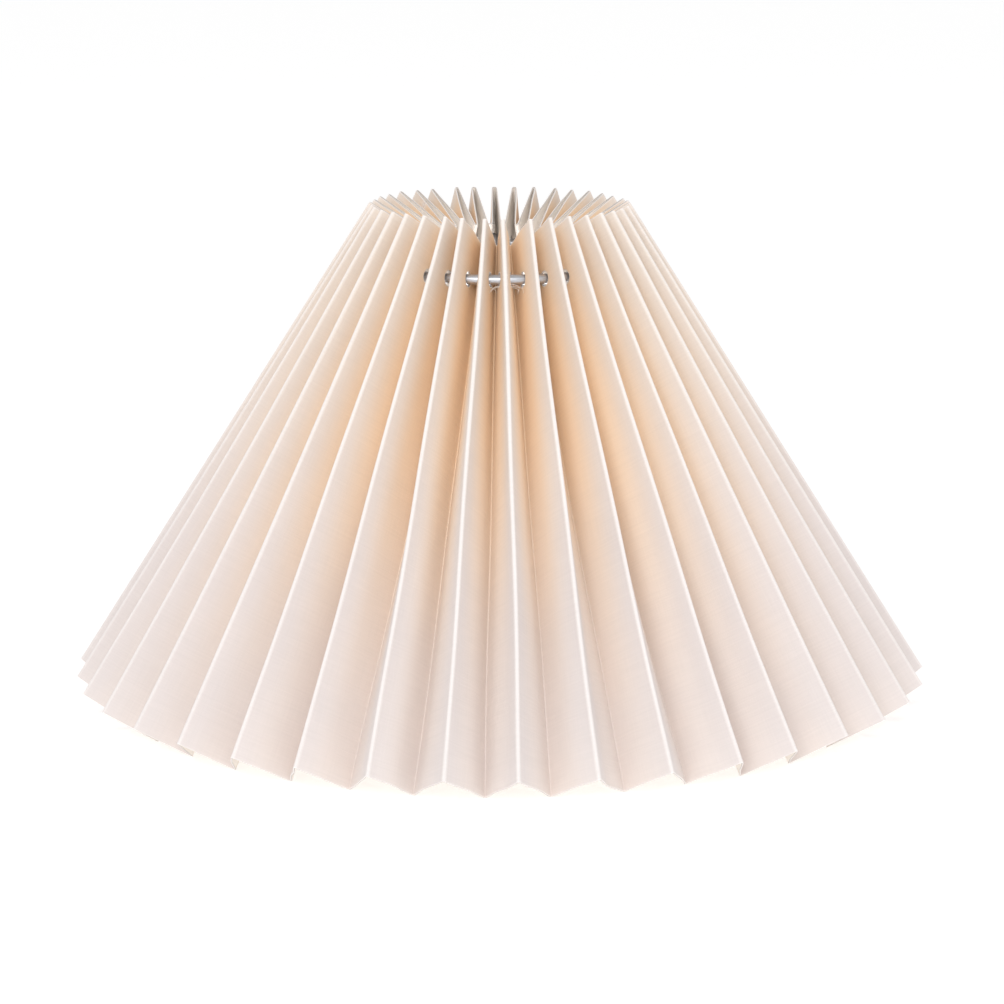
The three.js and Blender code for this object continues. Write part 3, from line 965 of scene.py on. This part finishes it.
def cloth_material():
    """Cream weave with slubs and pale fibre at cut edges, with painted light: a painted warm glow in the
    pockets, a painted warmer shade towards the rim, and a painted highlight along the outer folds.
    """
    graph = Graph("pleated_cloth")
    along, down = graph.along_and_down()
    inner = (along + SEAM_ALONG).folded(WALL_WIDTH)
    share = down / STRIP_WIDTH
    weft = graph.noise(along * 55, down * 1500, 3.0, detail=3.0)
    warp = graph.noise(along * 1700, down * 60, 7.0, detail=2.0)
    cloud = graph.noise(along * 22, down * 30, 11.0, detail=2.0)
    # Painted glow: the mask rises from the outer folds to the inner folds and fades towards the hem. A little
    # random mottle of tone is added to it.
    pocket_glow_mask = inner.step(0.02, 0.6) * (1 - share.step(0.1, 0.95) * 0.88)
    glow_and_mottle = (pocket_glow_mask * 0.95 + (cloud - 0.5) * 0.12).clamped()
    cut = graph.number("ShaderNodeAttribute", 2, {"attribute_name": "cut"})
    # Painted highlight: crest is 1 on the outer folds, which it makes paler and a touch brighter. The rest of
    # bright is the weave's own slubs and mottle.
    crest = 1 - inner.step(0.0, 0.06)
    bright = 1 + (weft - 0.5) * 0.09 + (warp - 0.5) * 0.05 + (cloud - 0.5) * 0.04 + crest * 0.01
    # Painted warm shade: the cream turns warmer from the hem up towards the rim.
    cream_with_painted_rim_shade = graph.mixed(share.step(0.1, 0.75), RIM_CREAM_PAINTED_WARM_SHADE, HEM_CREAM)
    toned = graph.mixed(glow_and_mottle, cream_with_painted_rim_shade, POCKET_GLOW_TINT)
    # Paler where the cut fibre shows at cut edges, and a painted highlight along the outer folds.
    edges_and_painted_light = graph.mixed((cut * 0.8 + crest * 0.6).clamped(), toned, BARE_FIBRE_AND_CREST_HIGHLIGHT)
    colour = graph.shaded(edges_and_painted_light, bright)
    yarn = 2 * math.pi / (0.44 * MM)
    weave = (along * yarn).sine() * (down * yarn).sine() * 0.25
    height = weave + weft * 0.9 + warp * 0.4
    return graph.finish({
        "Base Color": colour,
        "Roughness": 0.86 + (weft - 0.5) * 0.1,
        "Specular IOR Level": 0.25,
        "Sheen Weight": 0.12,
        "Sheen Roughness": 0.5,
        "Normal": graph.bump(height, 0.06 * MM, 0.7),
    })


cloth_look = cloth_material()
print("cloth nodes:", len(cloth_look.node_tree.nodes))

# %% [markdown]
# ## Film, tape and threads
# The film is a smooth, slightly yellowed plastic that has taken a little of the weave's texture from the
# cloth behind it. The tape is glossier and clear brown. A thread is bare yarn.

# %% Film, tape and thread materials


def film_material():
    """A tan white plastic, smooth along the folds, with a faint print of the weave and a few scuffs, and a
    painted shadow line: its cut edges are made dark grey.
    """
    graph = Graph("film")
    along, down = graph.along_and_down()
    inner = (along + SEAM_ALONG).folded(WALL_WIDTH)
    print_through = graph.noise(along * 300, down * 1100, 2.0, detail=2.0)
    scuff = graph.noise(along * 40, down * 90, 5.0, detail=4.0)
    stress = inner.step(0.96, 1.0) + 1 - inner.step(0.0, 0.04)
    bright = 0.98 + (print_through - 0.5) * 0.05 + (scuff - 0.5) * 0.06
    cut = graph.number("ShaderNodeAttribute", 2, {"attribute_name": "cut"})
    toned = graph.mixed(stress * 0.4, (0.95, 0.885, 0.82, 1.0), (0.96, 0.93, 0.90, 1.0))
    # Painted shadow: every cut edge of the film is darkened to a grey line.
    edges_and_painted_light = graph.mixed(cut * 0.6, toned, (0.42, 0.40, 0.39, 1.0))
    return graph.finish({
        "Base Color": graph.shaded(edges_and_painted_light, bright),
        "Roughness": 0.5 + (scuff - 0.5) * 0.25,
        "Specular IOR Level": 0.3,
        "Normal": graph.bump(print_through, 0.03 * MM, 0.6),
    })


def tape_material():
    """A thin tan packing tape, with long low ripples where it was rubbed down."""
    graph = Graph("seam_tape")
    along, down = graph.along_and_down()
    ripple = graph.noise(along * 260, down * 35, 1.0, detail=2.0)
    return graph.finish({
        "Base Color": graph.mixed(ripple, (0.70, 0.56, 0.40, 1.0), (0.78, 0.66, 0.50, 1.0)),
        "Roughness": 0.22 + ripple * 0.14,
        "Normal": graph.bump(ripple, 0.12 * MM, 0.6),
    })


def thread_material():
    """Bare yarn, a little lighter and darker along its length."""
    graph = Graph("loose_yarn")
    _, height, x, y = graph.from_axis()
    twist = graph.noise(x * 2500, y * 2500, height * 2500, detail=1.0)
    return graph.finish({
        "Base Color": graph.mixed(twist, (0.84, 0.79, 0.75, 1.0), (0.95, 0.92, 0.90, 1.0)),
        "Roughness": 0.9,
    })


film_look, tape_look, thread_look = film_material(), tape_material(), thread_material()
print("film, tape and thread are made")

# %% [markdown]
# ## Zinc-plated steel
# Drawn wire keeps fine lines along its length, and bright zinc has a bluish bloom in soft patches. On parts
# that go round the axis, distance from the axis and height stay the same along a line, so noise of those two
# draws lines that follow the wire.

# %% Zinc materials


def zinc_material(name, lines):
    """Bluish bright metal. lines is how much of the fine texture follows circles round the axis."""
    graph = Graph(name)
    radius, height, x, y = graph.from_axis()
    drawn = graph.noise(radius * 5200, height * 5200, x * 40, detail=2.0)
    speck = graph.noise(x * 1400, y * 1400, height * 1400, detail=3.0)
    bloom = graph.noise(x * 130, y * 130, height * 130, detail=2.0)
    fine = drawn * lines + speck * (1 - lines)
    colour = graph.mixed(bloom, (0.48, 0.50, 0.54, 1.0), (0.60, 0.61, 0.64, 1.0))
    return graph.finish({
        "Base Color": graph.shaded(colour, 0.94 + fine * 0.12),
        "Metallic": 1.0,
        "Roughness": 0.24 + fine * 0.16 + (bloom - 0.5) * 0.1,
        "Normal": graph.bump(fine, 0.02 * MM, 0.5),
    })


ring_zinc = zinc_material("zinc_wire_ring", 0.75)
arm_zinc = zinc_material("zinc_wire_arms", 0.0)
weld_zinc = zinc_material("zinc_welds", 0.1)
print("three zinc finishes")

# %% [markdown]
# ## Put everything in its place
# Each piece stands for its CAD node, whose solid is hidden, follows the node's body, and takes a material
# made here.

# %% Finish, follow and replace


def settle(piece, look, body, slot_name, *nodes):
    """Gives a piece its look and its body, and hides the CAD nodes that it stands for. slot_name is not used.
    """
    piece.data.materials.clear()
    piece.data.materials.append(look)
    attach(piece, body)
    if nodes:
        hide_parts(*nodes)


settle(cloth, cloth_look, "shade", "pleated_cloth", "pleated_cover")
settle(film, film_look, "shade", "pleated_cloth")
settle(threads, thread_look, "shade", "pleated_cloth")
settle(tape, tape_look, "shade", "seam_tape", "seam_tape")
settle(holder, ring_zinc, "shade", "zinc_plated_steel", "lampholder_ring")
settle(welds, weld_zinc, "shade", "zinc_plated_steel")
for number, arm in enumerate(arms, 1):
    settle(arm, arm_zinc, "shade", "zinc_plated_steel", f"spider_arm_{number}")
settle(ring, ring_zinc, "ring", "zinc_plated_steel", "carrier_ring")
settle(sleeve, ring_zinc, "ring", "zinc_plated_steel", "ring_sleeve")

# %% [markdown]
# ## Floor and light
# The studio is a white light table under a white sky. One large soft light stands over the camera, a
# little to the left, and shines into the pockets. A weaker one stands to the right. A dim light inside the
# shade gives back what the thin cloth would let through. Colours pass to the picture as they are, without
# a film look.

# %% Floor, sky and soft lights


TABLE_GLOW = 0.33


def add_floor():
    """A wide white table top at the shade's foot, softly lit from below, with a trace of mottling."""
    half = 12.0
    corners = np.array([[-half, -half, 0], [half, -half, 0], [half, half, 0], [-half, half, 0]])
    floor = add_mesh("floor", corners, np.array([[0, 1, 2, 3]]))
    graph = Graph("table_top")
    _, _, x, y = graph.from_axis()
    mottle = graph.noise(x * 14, y * 14, 0.0, detail=3.0)
    floor.data.materials.append(graph.finish({
        "Base Color": graph.mixed(mottle, (0.925, 0.925, 0.925, 1.0), (0.935, 0.935, 0.935, 1.0)),
        "Roughness": 0.9,
        "Specular IOR Level": 0.1,
        "Emission Color": (1.0, 1.0, 1.0, 1.0),
        "Emission Strength": TABLE_GLOW,
    }))
    return floor


def add_softbox(name, place, size, power):
    """A square area light that faces the middle of the shade."""
    data = bpy.data.lights.new(name, "AREA")
    data.size = size
    data.energy = power
    lamp = bpy.data.objects.new(name, data)
    lamp.location = place
    away = unit(np.array(place) - np.array([0, 0, 0.08]))
    lamp.rotation_euler = (math.acos(away[2]), 0.0, math.atan2(away[0], -away[1]))
    bpy.context.scene.collection.objects.link(lamp)
    return lamp


def add_sky(strength):
    """An even white sky."""
    world = bpy.data.worlds.new("sky")
    world.use_nodes = True
    background = world.node_tree.nodes["Background"].inputs
    background["Color"].default_value = (1.0, 1.0, 1.0, 1.0)
    background["Strength"].default_value = strength
    bpy.context.scene.world = world


def add_glow(place, size, power):
    """A small ball of light inside the shade, which the camera itself doesn't see."""
    data = bpy.data.lights.new("glow", "POINT")
    data.shadow_soft_size = size
    data.energy = power
    lamp = bpy.data.objects.new("glow", data)
    lamp.location = place
    lamp.visible_camera = False
    bpy.context.scene.collection.objects.link(lamp)
    return lamp


floor = add_floor()
key = add_softbox("key", (-0.40, -2.05, 1.10), 1.2, 18.0)
fill = add_softbox("fill", (1.5, -1.6, 0.9), 1.2, 3.0)
glow = add_glow((0.0, 0.0, 0.095), 0.03, 0.16)
add_sky(0.70)
bpy.context.scene.view_settings.view_transform = "Standard"
print("lights:", key.name, fill.name, glow.name)
